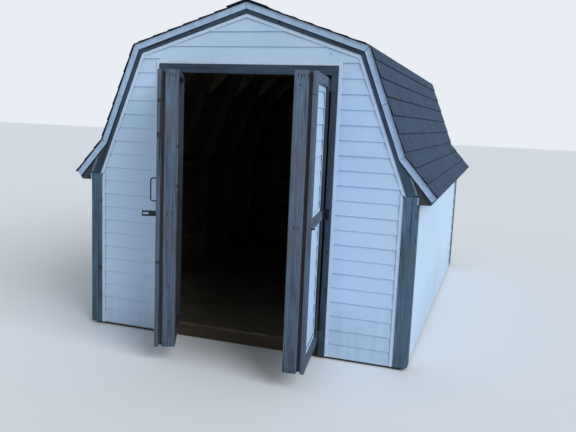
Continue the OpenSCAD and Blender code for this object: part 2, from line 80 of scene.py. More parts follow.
def surface(name, roughness, specular=0.5):
    """A new material, the function that adds its nodes, and the place that its patterns follow."""
    material = bpy.data.materials.new(name)
    material.use_nodes = True
    shader = material.node_tree.nodes["Principled BSDF"].inputs
    shader["Roughness"].default_value = roughness
    shader["Specular IOR Level"].default_value = specular
    add = adder(material.node_tree)
    return material, add, add("TexCoord", out="Object")


def finish(material, colour, rough=None, bump=None):
    """Links a colour, a roughness (value, lowest, highest) and bumps (value, strength, depth in metres)."""
    tree = material.node_tree
    add = adder(tree)
    shader = tree.nodes["Principled BSDF"].inputs
    tree.links.new(colour, shader["Base Color"])
    if rough:
        rough = add("MapRange", [rough[0], 0, 1, rough[1], rough[2]])
        tree.links.new(rough, shader["Roughness"])
    if bump:
        bump = add("Bump", Height=bump[0], Strength=bump[1], Distance=bump[2])
        tree.links.new(bump, shader["Normal"])
    return material


def sawn_timber(name, pale, dark, stain, brown, wear):
    """Sawn spruce: growth rings round a pith outside the board, drawn 5 mm apart so that they show,
    torn fibres along it, a knot about every 0.4 m, dark drying checks, and weather stains."""
    material, add, place = surface(name, 0.85, 0.3)
    grain = add("Attribute", out="Vector", attribute_name="grain")
    tone = add("Attribute", out="Fac", attribute_name="tone")

    def stretched(along, across):
        return add("VectorMath MULTIPLY", [grain, (along, across, across)])

    rings = add("TexWave", [stretched(0.06, 1), 62, 2.6, 2, 0.35], out="Fac", wave_type="RINGS",
                rings_direction="X")
    fibres = add("TexNoise", [stretched(7, 190), 1, 4, 0.65])
    streaks = add("TexNoise", [stretched(2.6, 30), 1, 4, 0.7], Distortion=0.3)
    blotches = add("TexNoise", [stretched(3.0, 8), 1, 3])
    splits = add("TexNoise", [stretched(1.1, 90), 1, 1])

    # A knot is round on the board's face and runs on through its thickness
    cells = (3.6, 11.0, 1.5)
    spaced = add("VectorMath MULTIPLY", [grain, cells])
    knots = add("TexVoronoi", [spaced, 1], out="all", Randomness=0.9)
    off_knot = add("VectorMath SUBTRACT", [spaced, knots["Position"]])
    off_knot = add("VectorMath MULTIPLY", [off_knot, (1 / cells[0], 1 / cells[1], 0)])
    reach = add("VectorMath LENGTH", [off_knot])
    draw = add("SeparateColor", [knots["Color"]])
    size = add("MapRange", [draw, 0.25, 1, 0.0, 0.015])
    size_out = add("Math MULTIPLY", [size, 1.5])
    knot = add("MapRange", [reach, size_out, size, 0, 1], interpolation_type="SMOOTHSTEP")

    mixed = add("Math MULTIPLY", [rings, 0.30])
    mixed = add("Math MULTIPLY_ADD", [fibres, 0.95, mixed])
    wood = add("ValToRGB", [mixed], stops=[(0.30, pale), (0.85, dark)])
    browned = add("MapRange", [blotches, 0.48, 0.68, 0, 0.75])
    wood = add("Mix RGBA", [browned, wood, brown])
    stained = add("MapRange", [streaks, 0.50, 0.72, 0, wear])
    wood = add("Mix RGBA", [stained, wood, stain])
    shade = add("MapRange", [tone, 0, 1, 0.66, 1.14])
    wood = add("VectorMath SCALE", [wood, shade])
    # All the wood is drawn darker towards the foot of the shed, from 1.5 m down to 0.1 m
    foot = add("SeparateXYZ", [place], out="Z")
    foot = add("MapRange", [foot, 0.1, 1.5, 0.76, 1.04])
    wood = add("VectorMath SCALE", [wood, foot])
    cracked = add("MapRange", [splits, 0.66, 0.70])
    flaws = add("Math MAXIMUM", [cracked, knot])
    flaws = add("Math MULTIPLY", [flaws, 0.8])
    wood = add("Mix RGBA", [flaws, wood, "#151514"])
    height = add("Math MULTIPLY_ADD", [cracked, -1.6, mixed])
    return finish(material, wood, (fibres, 0.72, 0.95), (height, 0.5, 0.0015))


# Aged framing spruce, planed at the mill and never painted: dull honey brown, painted dark as shade for the
# dim inside of the shed.
aged_and_shaded_spruce = sawn_timber("aged_framing_spruce_painted_shade", "#544C3F", "#3A3329", "#231F1B", "#42382A", 0.5)


def outwards(shape):
    """Turns a shape's faces outwards."""
    shape.normal_update()
    bmesh.ops.recalc_face_normals(shape, faces=shape.faces[:])
    return shape


def join(whole, part):
    """Adds a part to a larger shape."""
    sheet = bpy.data.meshes.new("sheet")
    part.to_mesh(sheet)
    whole.from_mesh(sheet)
    bpy.data.meshes.remove(sheet)
    part.free()


def placed(name, data):
    """A new object in the scene."""
    made = bpy.data.objects.new(name, data)
    bpy.context.scene.collection.objects.link(made)
    return made


def solids(node):
    """Each solid of a CAD node as a bmesh, with whole flat faces in place of its triangles."""
    whole = bmesh.new()
    whole.from_mesh(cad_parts[node].data)
    bmesh.ops.remove_doubles(whole, verts=whole.verts[:], dist=2e-5)
    bmesh.ops.dissolve_limit(whole, angle_limit=math.radians(0.3), verts=whole.verts[:],
                             edges=whole.edges[:])
    seen = set()
    for start in whole.faces:
        if start in seen:
            continue
        seen.add(start)
        group, ahead = [], [start]
        while ahead:
            face = ahead.pop()
            group.append(face)
            for edge in face.edges:
                for other in edge.link_faces:
                    if other not in seen:
                        seen.add(other)
                        ahead.append(other)
        part = bmesh.new()
        corners = {}
        for face in group:
            for v in face.verts:
                if v not in corners:
                    corners[v] = part.verts.new(v.co)
            part.faces.new([corners[v] for v in face.verts])
        part.normal_update()
        yield part


def eased(part, edge, segments=2):
    """Takes the sharpness off a solid's edges."""
    sharp = [e for e in part.edges if e.calc_face_angle(0) > math.radians(25)]
    bmesh.ops.bevel(part, geom=sharp, offset=edge, segments=segments, profile=0.5, affect="EDGES",
                    clamp_overlap=True)
    bmesh.ops.dissolve_degenerate(part, dist=2e-6, edges=part.edges[:])
    return part


def fit(name, shape, material, slot, *nodes, body="shed"):
    """Turns a finished bmesh into a piece that rides on a body and stands for CAD nodes."""
    mesh = bpy.data.meshes.new(name)
    outwards(shape).to_mesh(mesh)
    shape.free()
    mesh.materials.append(material)
    made = placed(name, mesh)
    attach(made, body)
    if nodes:
        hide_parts(*nodes)
    return made


def timbers(node, material, slot="framing_timber", body="shed", edge=0.003, tones=(0.1, 0.9)):
    """A CAD node's boards with eased edges. Each board gets its own grain, which follows its length."""
    joined = bmesh.new()
    for i, part in enumerate(solids(node)):
        draw = random.Random(f"{node} {i}")
        longest = max(part.edges, key=lambda e: round(e.calc_length(), 4))
        along = (longest.verts[1].co - longest.verts[0].co).normalized()
        sides = [f for f in part.faces if abs(f.normal.dot(along)) < 0.1]
        through = max(sides, key=lambda f: round(f.calc_area(), 5)).normal.copy()
        across = through.cross(along)
        middle = sum((v.co for v in part.verts), Vector()) / len(part.verts)
        pith = Vector((draw.uniform(0, 60), draw.uniform(-0.04, 0.04),
                       draw.choice((-1, 1)) * draw.uniform(0.024, 0.07)))
        lean = draw.uniform(-0.02, 0.02)
        shade = draw.uniform(*tones)
        eased(part, edge)
        grain = part.verts.layers.float_vector.new("grain")
        tone = part.verts.layers.float.new("tone")
        for v in part.verts:
            off = v.co - middle
            far = off.dot(along)
            v[grain] = pith + Vector((far, off.dot(across), off.dot(through) + lean * far))
            v[tone] = shade
        join(joined, part)
    return fit(node + "_wood", joined, material, slot, node, body=body)


timbers("floor_joists", aged_and_shaded_spruce)
# The rims have stood in splashed rain, so the same spruce is dark grey there.
splashed_shaded_spruce = sawn_timber("splashed_and_shaded_spruce", "#45505C", "#313A45", "#191E25", "#363636", 0.5)
timbers("rim_joists", splashed_shaded_spruce)

# Floor deck. Three sheets of plywood lie across the joists, face grain along each sheet.
# Trodden and damp, so it is dull brown with earth worked into it by the doors.


def cut_flat(shape, place, normal, clear=True):
    """Cuts a shape by a plane. It also clears what lies beyond the plane, and closes the hole."""
    cut = bmesh.ops.bisect_plane(shape, geom=[*shape.verts, *shape.edges, *shape.faces], plane_co=place,
                                 plane_no=normal, clear_outer=clear)
    if clear:
        rim = [e for e in cut["geom_cut"] if isinstance(e, bmesh.types.BMEdge)]
        bmesh.ops.holes_fill(shape, edges=rim, sides=0)


def sheet_parts(node, cuts=(), axis=0, edge=0.0012, gap=0.003):
    """A CAD node's sheets, cut apart at some places along an axis, with eased edges."""
    joined = bmesh.new()
    for part in solids(node):
        bounds = [-10.0, *cuts, 10.0]
        for low, high in zip(bounds, bounds[1:]):
            piece = part.copy()
            for place, way in ((low + gap / 2, -1), (high - gap / 2, 1)):
                normal = Vector([way if i == axis else 0 for i in range(3)])
                cut_flat(piece, normal * way * place, normal)
            if piece.verts:
                join(joined, eased(outwards(piece), edge, 1))
        part.free()
    return joined


def plywood(name, pale, dark, stain, along):
    """Sheathing plywood: rotary-cut veneer with wide wavy figure, raised fibres and dirt."""
    material, add, place = surface(name, 0.85)
    turned = add("VectorMath MULTIPLY", [place, along])
    figure = add("TexNoise", [turned, 5, 3], Distortion=1.4)
    bands = add("Math MULTIPLY", [figure, 70])
    bands = add("Math SINE", [bands])
    fibres = add("TexNoise", [turned, 110, 2])
    mixed = add("Math MULTIPLY_ADD", [bands, 0.18, fibres])
    veneer = add("ValToRGB", [mixed], stops=[(0.25, pale), (0.75, dark)])
    dirt = add("TexNoise", [place, 3.2, 5, 0.62])
    dirt = add("MapRange", [dirt, 0.45, 0.68, 0, 0.85])
    veneer = add("Mix RGBA", [dirt, veneer, stain])
    return finish(material, veneer, (dirt, 0.75, 0.95), (fibres, 0.35, 0.001))


# Trodden spruce plywood, bare: dull brown, with dark earth over it in patches.
trodden_plywood = plywood("trodden_plywood", "#4D463A", "#38322A", "#23201C", (0.12, 1, 1))
fit("floor_deck_sheets", sheet_parts("floor_deck", (-0.6097, 0.6097), 1), trodden_plywood,
    "sheathing_board", "floor_deck")

# Wall framing. Studs stand on sole plates and carry double top plates, all nailed spruce.
# The header over the doorway is one of them laid on edge.
for node in ("wall_plates", "left_wall_studs", "right_wall_studs", "front_wall_studs",
             "back_wall_studs", "door_header"):
    timbers(node, aged_and_shaded_spruce)

# Wall sheathing. Sheets of oriented strand board are nailed to the outside of the studs.
# Only the inside shows, between the studs, and round the doorway its cut edge.


def strand_board(name, greyed_past=9.0):
    """Oriented strand board: flat wafers 90 mm long lying three ways over one another, pressed smooth.
    Past a distance to the front or back it has stood in the weather and is grey."""
    material, add, place = surface(name, 0.8)
    shade = None
    for turn, shift, level in ((0.25, 0.0, 0.5), (-0.5, 3.7, 0.62), (1.2, 8.1, 0.7)):
        laid = add("Mapping", [place, (shift, shift, 0), (turn, 0.3 * turn, turn), (14, 11, 42)])
        wafers = add("TexVoronoi", [laid, 1], out="Color", distance="CHEBYCHEV")
        value = add("SeparateColor", [wafers], out="all")
        over = add("Math GREATER_THAN", [value["Green"], level])
        shade = add("Mix", [over, shade, value["Red"]]) if shade else value["Red"]
    # The wafers' browns are painted dark: shade for the dim inside of the shed.
    board = add("ValToRGB", [shade], stops=[(0.0, "#534B3A"), (0.55, "#433B2D"), (1.0, "#2D271E")])
    damp = add("TexNoise", [place, 1.6, 3])
    damp = add("MapRange", [damp, 0.3, 0.7, 1.1, 0.6])
    board = add("VectorMath SCALE", [board, damp])
    away = add("SeparateXYZ", [place], out="Y")
    away = add("Math ABSOLUTE", [away])
    away = add("MapRange", [away, greyed_past, greyed_past + 0.004])
    board = add("Mix RGBA", [away, board, "#61758C"])
    return finish(material, board, (shade, 0.7, 0.9), (shade, 0.4, 0.0008))


# Oriented strand board kept dry under the siding: yellow-brown wafers, dulled with age and painted dark as
# shade for the inside.
aged_and_shaded_strand_board = strand_board("aged_and_shaded_strand_board")
for node, cuts, axis in (("left_wall", (0.61,), 1), ("right_wall", (0.61,), 1), ("back_wall", (0.0,), 0),
                         ("front_wall_left", (), 0), ("front_wall_right", (), 0),
                         ("front_wall_gable", (0.0,), 0)):
    fit(node + "_sheets", sheet_parts(node, cuts, axis), aged_and_shaded_strand_board, "sheathing_board", node)

# Vinyl siding. Extruded double-four panels, 1.1 mm thick, hook into each other over the sheathing.
# Their ends tuck into white channels along the trim. Each panel shows two courses of 102 mm.
COURSE = 0.1016
SKIRT = 0.020
SHEATHING_X = 1.231
SHEATHING_Y = 1.841
CHANNEL = 0.024
UPPER, LOWER, FLARE = (math.radians(a) for a in (18.5, 68.6, 48.8))
FRAME_X = 1.219
PLATE_TOP = 1.235
ROOF_BOARD = 0.012
KNEE_X = 0.871
KINK_Z = 1.452
FLARE_LENGTH = 0.339


def mitred(path, shift, closed=False):
    """A flat path moved to its left by shift, with mitred corners."""
    ways = [(b - a).normalized() for a, b in zip(path, path[1:] + path[:1])]
    if not closed:
        ways[-1] = ways[-2]
    lefts = [Vector((-way.y, way.x)) for way in ways]
    moved = []
    for i, point in enumerate(path):
        before = lefts[i - 1] if i or closed else lefts[0]
        across = (before + lefts[i]).normalized()
        moved.append(point + across * (shift / across.dot(before)))
    return moved


def skinned(shape, rings, closed=False):
    """Faces from each ring of corners to the next, and over both ends of the row, or round and round."""
    for ring, following in zip(rings, rings[1:] + (rings[:1] if closed else [])):
        for i in range(len(ring)):
            j = (i + 1) % len(ring)
            shape.faces.new((ring[i], ring[j], following[j], following[i]))
    for ring in () if closed else (rings[0], rings[-1]):
        shape.faces.new(ring)


def swept(shape, path, profile, place, closed=False):
    """A profile of (across, outward) points run along a flat path, and closed at its ends."""
    path = [Vector(p) for p in path]
    rows = [[shape.verts.new(place(p.x, p.y, outward)) for p in mitred(path, across, closed)]
            for across, outward in profile]
    skinned(shape, list(zip(*rows)), closed)


def roof_line(depth):
    """The roof's section on the right, from ridge to eave, at a depth under the face of its boards."""
    foot_x = FRAME_X + ROOF_BOARD / math.sin(LOWER)
    knee = Vector((KNEE_X, PLATE_TOP + (foot_x - KNEE_X) * math.tan(LOWER)))
    ridge = Vector((0.0, knee.y + KNEE_X * math.tan(UPPER)))
    kink = Vector((KNEE_X + (knee.y - KINK_Z) / math.tan(LOWER), KINK_Z))
    eave = kink + FLARE_LENGTH * Vector((math.cos(FLARE), -math.sin(FLARE)))
    line = mitred([ridge, knee, kink, eave], -depth)
    line[0] = Vector((0.0, ridge.y - depth / math.cos(UPPER)))
    return line


def lapped(shape, outline, lap, place):
    """Courses over a convex outline of (along, up) corners, counterclockwise. The lap is the height of
    a panel's lower lip. The lip at the middle of a panel is only a bend, so it is shallower."""
    along, ups = zip(*outline)
    first = math.floor((min(ups) - lap) / COURSE) - 1
    last = math.ceil((max(ups) - lap) / COURSE) + 1
    section = []
    for i in range(first, last):
        z = lap + i * COURSE
        lip, slot = (0.0100, 0.0045) if i % 2 == 0 else (0.0084, 0.0012)
        section += [(0.0020, z + slot), (lip - 0.0012, z), (lip, z + 0.0012)]
    section += [(0.0, section[-1][1]), (0.0, section[0][1])]
    courses = bmesh.new()
    skinned(courses, [[courses.verts.new((x, outward, z)) for outward, z in section]
                      for x in (min(along) - 0.01, max(along) + 0.01)])
    for a, b in zip(outline, outline[1:] + outline[:1]):
        cut_flat(courses, (a[0], 0, a[1]), Vector((b[1] - a[1], 0, a[0] - b[0])))
    for v in courses.verts:
        v.co = place(v.co.x, v.co.z, v.co.y)
    join(shape, courses)


def box(left, right, low, high):
    """An upright rectangle's corners, counterclockwise."""
    return [(left, low), (right, low), (right, high), (left, high)]


def on_face(depth, turn):
    """Gives the place of (along, up, outward) on a face that lies this far in front and is then turned."""
    return lambda along, up, outward: turn @ Vector((along, -depth - outward, up))


on_front, on_right, on_back, on_left = (
    on_face(depth, Matrix.Rotation(math.radians(90 * i), 4, "Z"))
    for i, depth in enumerate((SHEATHING_Y, SHEATHING_X) * 2))

# Extruded white vinyl with a faint pressed wood grain: a dull satin sheen, chalked and streaked by rain.
white_vinyl, add, place = surface("white_vinyl_siding", 0.45)
flat = add("VectorMath MULTIPLY", [place, (1, 1, 14)])
pressed = add("TexNoise", [flat, 22, 3])
tall = add("VectorMath MULTIPLY", [place, (9, 9, 0.7)])
rain = add("TexNoise", [tall, 2.4, 4])
cloud = add("TexNoise", [place, 1.3, 2])
tint = add("Math MULTIPLY", [rain, 0.2])
tint = add("Math MULTIPLY_ADD", [cloud, 0.8, tint])
tint = add("ValToRGB", [tint], stops=[(0.30, "#B7D1EC"), (0.55, "#B1CDEA"), (0.75, "#A7C3DF")])
height = add("SeparateXYZ", [place], out="Z")
splash = add("MapRange", [height, 0.45, 0.0, 0, 0.5])
splash = add("Math MULTIPLY", [splash, rain])
tint = add("Mix RGBA", [splash, tint, "#7D8A94"])
finish(white_vinyl, tint, (rain, 0.38, 0.56), (pressed, 0.12, 0.0006))

# The siding ends under the gable trim, this far below the roof's face
ridge, knee, _, _ = roof_line(0.0733)
CORNER_X = 1.154
CORNER_TOP = 1.193
SLOPE_X = knee.x + (knee.y - CORNER_TOP) / math.tan(LOWER)
CASING_X = 0.6700
HEAD_TOP = 2.028
RIGHT_LAP = 1.6408
LEFT_LAP = 1.0450
under_head = ridge.y - CASING_X * math.tan(UPPER)
above = [(CASING_X, CORNER_TOP), (SLOPE_X, CORNER_TOP), (knee.x, knee.y), (CASING_X, under_head)]
courses = bmesh.new()
lapped(courses, box(CASING_X, CORNER_X, SKIRT, CORNER_TOP), RIGHT_LAP, on_front)
lapped(courses, above, RIGHT_LAP, on_front)
lapped(courses, box(-CORNER_X, -CASING_X, SKIRT, CORNER_TOP), LEFT_LAP, on_front)
lapped(courses, [(-x, z) for x, z in reversed(above)], LEFT_LAP, on_front)
lapped(courses, [(-CASING_X, HEAD_TOP), (CASING_X, HEAD_TOP), (CASING_X, under_head), (0, ridge.y),
                 (-CASING_X, under_head)], RIGHT_LAP, on_front)
fit("front_siding_courses", courses, white_vinyl, "white_vinyl", "front_siding")

courses = bmesh.new()
lapped(courses, box(-CORNER_X, CORNER_X, SKIRT, CORNER_TOP), LEFT_LAP, on_back)
lapped(courses, [(-SLOPE_X, CORNER_TOP), (SLOPE_X, CORNER_TOP), (knee.x, knee.y), (0, ridge.y),
                 (-knee.x, knee.y)], LEFT_LAP, on_back)
fit("back_siding_courses", courses, white_vinyl, "white_vinyl", "back_siding")

SIDE_END = 1.752
SOFFIT_Z = 1.144
for side, on_side in (("left", on_left), ("right", on_right)):
    courses = bmesh.new()
    lapped(courses, box(-SIDE_END, SIDE_END, SKIRT, SOFFIT_Z), RIGHT_LAP, on_side)
    fit(side + "_siding_courses", courses, white_vinyl, "white_vinyl", side + "_siding")

# Siding channels. Folded white vinyl, nailed to the sheathing along every trim board.
# Its front lip covers the cut ends of the courses and shows as a plain white band.
LIP = [(0.0, 0.0), (0.0, 0.0112), (0.0008, 0.0120), (CHANNEL - 0.0008, 0.0120), (CHANNEL, 0.0114),
       (CHANNEL, 0.0108), (0.0011, 0.0108), (0.0011, 0.0)]
channels = bmesh.new()
swept(channels, [(-CASING_X, SKIRT), (-CASING_X, HEAD_TOP), (CASING_X, HEAD_TOP), (CASING_X, SKIRT)],
      LIP, on_front)
slope = [(SLOPE_X + 0.004, CORNER_TOP - 0.010), tuple(knee)]
slope += [tuple(ridge)] + [(-x, z) for x, z in reversed(slope)]
for on_end in (on_front, on_back):
    swept(channels, slope, LIP, on_end)
    swept(channels, [(CORNER_X, SKIRT), (CORNER_X, CORNER_TOP + 0.006)], LIP, on_end)
    swept(channels, [(-CORNER_X, CORNER_TOP + 0.006), (-CORNER_X, SKIRT)], LIP, on_end)
for on_side in (on_left, on_right):
    swept(channels, [(SIDE_END, SKIRT), (SIDE_END, SOFFIT_Z), (-SIDE_END, SOFFIT_Z), (-SIDE_END, SKIRT)],
          LIP, on_side)


def speckled(name, roughness, noise, stops, rough=None, bump=None, specular=0.5):
    """A material of one noise (scale, detail, roughness), which gives its colour, dullness and bumps."""
    material, add, place = surface(name, roughness, specular)
    noise = add("TexNoise", [place, *noise])
    return finish(material, add("ValToRGB", [noise], stops=stops), rough and (noise, *rough),
                  bump and (noise, *bump))


# The same vinyl without the pressed grain, glossier and whiter than the courses.
smooth_vinyl = speckled("white_vinyl_trim", 0.38, (9, 5, 0.65), [
    (0.40, "#BFD7F0"), (0.62, "#B7CFE8"), (0.80, "#9AAEC4")], (0.3, 0.5), (0.1, 0.001))
fit("siding_channels", channels, smooth_vinyl, "white_vinyl")

# Roof framing. Rafters in two lengths meet at the knee under a plywood plate on one face.
# They butt on a ridge board, and their feet stand on the wall plates.
for node in ("left_rafters", "right_rafters", "ridge_board"):
    timbers(node, aged_and_shaded_spruce)

# Spruce plywood offcuts, kept dry: yellow-brown, cleaner than the floor.
dry_plywood = plywood("dry_plywood", "#6D6350", "#544B3A", "#3C352A", (1, 1, 0.15))
fit("knee_plates_cut", sheet_parts("knee_plates"), dry_plywood, "framing_timber", "knee_plates")

# Roof boards. The same strand board, in sheets laid across the rafters, under the shingles.
# It is seen from inside, and by the gable trim as a thin grey edge.
roof_board = strand_board("roof_strand_board", 1.85)
BOARD_END = 1.8605
BOARD_GAP = 0.0002
SIDES = (("left", -1), ("right", 1))
ROOF_NODES = {side: (f"{side}_upper_roof", f"{side}_lower_roof", f"{side}_flared_eave") for side, _ in SIDES}
for side, sign in SIDES:
    boards = bmesh.new()
    corners = [Vector((sign * p.x, 0, p.y)) for p in roof_line(0.0)]
    for node, a, b in zip(ROOF_NODES[side], corners, corners[1:]):
        outward = Vector((a.z - b.z, 0, b.x - a.x)).normalized() * sign
        for solid in solids(node):
            cut_flat(solid, a - outward * BOARD_GAP, outward)
            loose = [v for v in solid.verts if abs(v.co.y) > BOARD_END]
            bmesh.ops.delete(solid, geom=loose, context="VERTS")
            join(boards, solid)
    fit(side + "_roof_boards", boards, roof_board, "sheathing_board", *ROOF_NODES[side])

# Shingles. Three-tab asphalt shingles, glass mat with stone granules, 127 mm to the weather.
# Each course laps the one below by two thirds, half a tab along, and bends over the knee and the flare.
EXPOSURE = 0.127
FIRST_COURSE = 0.116
TAB = 0.305
SHINGLE_END = 1.876
BASE = 0.0030
TOP = 0.0108
PLY = 0.0036
STEP = 0.0060
NEAR_BEND = 0.008
FLUSH = 0.0001
ASIDE = 0.06


def node_group(name, **sockets):
    """An empty geometry tree with its named inputs, those inputs, and what adds its nodes."""
    made = bpy.data.node_groups.new(name, "GeometryNodeTree")
    made.interface.new_socket("Geometry", in_out="INPUT", socket_type="NodeSocketGeometry")
    for label, value in sockets.items():
        kind = "NodeSocketInt" if isinstance(value, int) else "NodeSocketFloat"
        made.interface.new_socket(label, in_out="INPUT", socket_type=kind).default_value = value
    made.interface.new_socket("Geometry", in_out="OUTPUT", socket_type="NodeSocketGeometry")
    return made, made.nodes.new("NodeGroupInput").outputs, adder(made)


def ended(group, geometry, material):
    """Ends a tree with real meshes in their material."""
    add = adder(group)
    real = add("GeometryNodeRealizeInstances", Geometry=geometry)
    real = add("GeometryNodeSetMaterial", Geometry=real, Material=material)
    add("NodeGroupOutput", [real])


def shingled(group, given, points, tab, tilt):
    """Ends a tree with a tab at each point, tilted over the one before it and in a tint of its own."""
    add = adder(group)
    laid = add("GeometryNodeInstanceOnPoints", Points=points, Instance=tab, Rotation=tilt)
    tints = add("FunctionNodeRandomValue", Seed=given["Seed"], data_type="FLOAT")
    laid = add("GeometryNodeStoreNamedAttribute", Geometry=laid, Name="tint", Value=tints, data_type="FLOAT",
               domain="INSTANCE")
    ended(group, laid, asphalt)


def grown(group, source=None, **values):
    """The plain shape that a tree makes from a mesh of points, with some of its inputs set."""
    holder = placed("holder", source or bpy.data.meshes.new("start"))
    modifier = holder.modifiers.new("growth", "NODES")
    modifier.node_group = group
    for item in group.interface.items_tree:
        if item.name in values:
            modifier[item.identifier] = values[item.name]
    graph = bpy.context.evaluated_depsgraph_get()
    made = bpy.data.meshes.new_from_object(holder.evaluated_get(graph), preserve_all_data_layers=True,
                                           depsgraph=graph)
    bpy.data.objects.remove(holder)
    shape = bmesh.new()
    shape.from_mesh(made)
    bpy.data.meshes.remove(made)
    return shape


# Weathered asphalt shingle: slate-grey stone granules on black asphalt, dull, with brown patches.
# The 1.5 mm granules are drawn 5 mm wide so that they show.
asphalt, add, place = surface("weathered_asphalt_shingle", 0.92, 0.25)
tab_tint = add("Attribute", out="Fac", attribute_name="tint")
granules = add("TexVoronoi", [place, 200], out="Color")
granule = add("SeparateColor", [granules])
fine = add("TexNoise", [place, 60, 3])
mixed = add("Math MULTIPLY", [granule, 0.45])
mixed = add("Math MULTIPLY_ADD", [fine, 0.55, mixed])
stone = add("ValToRGB", [mixed], stops=[(0.2, "#162437"), (0.5, "#293F58"), (0.85, "#415D7D")])
worn = add("VectorMath MULTIPLY", [place, (1, 3.2, 0.8)])
worn = add("TexNoise", [worn, 2.2, 4, 0.6])
browned = add("MapRange", [worn, 0.47, 0.66, 0, 0.55])
stone = add("Mix RGBA", [browned, stone, "#293247"])
shade = add("MapRange", [tab_tint, 0, 1, 0.90, 1.10])
stone = add("VectorMath SCALE", [stone, shade])
# A band of painted shade, with some dirt, darkens each course under the butt of the course above. The cut
# edges are bare black asphalt and take the same colour
run = add("Attribute", out="Fac", attribute_name="run")
damp = add("MapRange", [run, 0.940, 0.975])
cut_edge = add("Attribute", out="Fac", attribute_name="cut")
butt_shade_and_cut_edge = add("Math MAXIMUM", [damp, cut_edge])
stone = add("Mix RGBA", [butt_shade_and_cut_edge, stone, "#09121C"])
finish(asphalt, stone, (granule, 0.82, 0.98), (mixed, 0.6, 0.0012))

# One flat field of tabs: X is the distance up from the eave, Y along the roof, Z off the boards
tabs, given, add = node_group(
    "shingle_tabs", Courses=17, Tabs=15, Rise=16 * EXPOSURE, Run=14 * TAB, Exposure=EXPOSURE, Tab=TAB,
    Length=EXPOSURE + 0.020, Width=TAB - 0.005, Thickness=PLY, Slope=STEP / EXPOSURE, Seed=4)
field = add("GeometryNodeMeshGrid", Size_X=given["Rise"], Size_Y=given["Run"], Vertices_X=given["Courses"],
            Vertices_Y=given["Tabs"])
at = add("GeometryNodeInputPosition")
up = add("SeparateXYZ", [at])
up = add("Math MULTIPLY_ADD", [given["Rise"], 0.5, up])
course = add("Math DIVIDE", [up, given["Exposure"]])
course = add("Math ROUND", [course])
odd = add("Math MODULO", [course, 2.0])
half = add("Math MULTIPLY", [given["Tab"], 0.5])
aside = add("Math MULTIPLY", [odd, half])
lift = add("Math MULTIPLY", [given["Rise"], 0.5])
step = add("CombineXYZ", [lift, aside])
uneven = add("FunctionNodeRandomValue", Min=(-0.0012, -0.0015, 0), Max=(0.0012, 0.0015, 0),
             Seed=given["Seed"], data_type="FLOAT_VECTOR")
step = add("VectorMath ADD", [step, uneven])
field = add("GeometryNodeSetPosition", Geometry=field, Offset=step)
size = add("CombineXYZ", [given["Length"], given["Width"], given["Thickness"]])
tab = add("GeometryNodeMeshCube", Size=size, Vertices_X=7, Vertices_Y=2, Vertices_Z=2)
ahead = add("Math MULTIPLY", [given["Length"], 0.5])
sunk = add("Math MULTIPLY", [given["Thickness"], -0.5])
shift = add("CombineXYZ", [ahead, 0, sunk])
tab = add("GeometryNodeTransform", Geometry=tab, Translation=shift)
along = add("SeparateXYZ", [at])
along = add("Math DIVIDE", [along, given["Exposure"]])
tab = add("GeometryNodeStoreNamedAttribute", Geometry=tab, Name="run", Value=along, data_type="FLOAT",
          domain="POINT")
slope = add("CombineXYZ", [0, given["Slope"]])
shingled(tabs, given, field, tab, slope)

# The roof's face as runs from the eave up to the ridge: start, direction, outward side and length
line = roof_line(0.0)[::-1]
RUNS = []
for a, b in zip(line, line[1:]):
    way = (b - a).normalized()
    RUNS.append((a, way, Vector((way.y, -way.x)), (b - a).length))


def on_roof(up, lift):
    """The section point at a distance up from the eave, and a lift off the roof's face. At a bend it is
    drawn in a little, as a shingle settles there."""
    for i, (start, way, outward, length) in enumerate(RUNS):
        if up <= length + 1e-6 or i == len(RUNS) - 1:
            if i < len(RUNS) - 1 and abs(up - length) < 1e-5:
                across = (outward + RUNS[i + 1][2]).normalized()
                settled = 0.0022 if across.dot(way) < 0 or i == 1 else 0.0
                return start + way * length + across * (lift / across.dot(outward) - settled)
            return start + way * up + outward * lift
        up -= length


roof_length = sum(run[3] for run in RUNS)
bends = [RUNS[0][3], RUNS[0][3] + RUNS[1][3]]
bend_rows = [bend + off for bend in bends for off in (-NEAR_BEND, 0.0, NEAR_BEND)]
for side, sign in SIDES:
    roofing = grown(tabs, Courses=17, Tabs=15)
    tint = roofing.verts.layers.float["tint"]
    for v in roofing.verts:
        v.co.x += FIRST_COURSE - EXPOSURE
        v.co.y += ASIDE * sign
        v.co.z += TOP
        for bend in bends:
            if abs(v.co.x - bend) < 0.006:
                v.co.x = bend
    for row in bend_rows:
        cut_flat(roofing, (row, 0, 0), (1, 0, 0), False)
    cut_flat(roofing, (0, 0, 0), (-1, 0, 0))
    cut_flat(roofing, (roof_length - 0.004, 0, 0), (1, 0, 0))
    cut_flat(roofing, (0, SHINGLE_END, 0), (0, 1, 0))
    cut_flat(roofing, (0, -SHINGLE_END, 0), (0, -1, 0))
    # A thin bed under the tabs closes the gaps between them and the boards
    ups = [0.0, *bend_rows, roof_length - 0.002]
    under = []
    for along in (-SHINGLE_END + 0.001, SHINGLE_END - 0.001):
        ring = [roofing.verts.new((up, along, BASE)) for up in ups]
        ring += [roofing.verts.new((up, along, FLUSH)) for up in reversed(ups)]
        under.append(ring)
        for v in ring:
            v[tint] = 0.35
        for i in range(len(ups) - 1):
            roofing.faces.new((ring[i], ring[i + 1], ring[-2 - i], ring[-1 - i]))
    for i, corner in enumerate(under[0]):
        roofing.faces.new((under[0][i - 1], corner, under[1][i], under[1][i - 1]))
    cut_face = roofing.faces.layers.float.new("cut")
    roofing.normal_update()
    for face in roofing.faces:
        at_end = all(abs(v.co.y) > SHINGLE_END - 0.002 for v in face.verts)
        face[cut_face] = 1.0 if face.normal.x < -0.5 or at_end else 0.0
    for v in roofing.verts:
        section = on_roof(v.co.x, max(v.co.z, FLUSH))
        v.co = Vector((sign * section.x, v.co.y, section.y))
    bmesh.ops.dissolve_degenerate(roofing, dist=1e-5, edges=roofing.edges[:])
    fit(side + "_roof_shingles", roofing, asphalt, "asphalt_shingle", *ROOF_NODES[side])

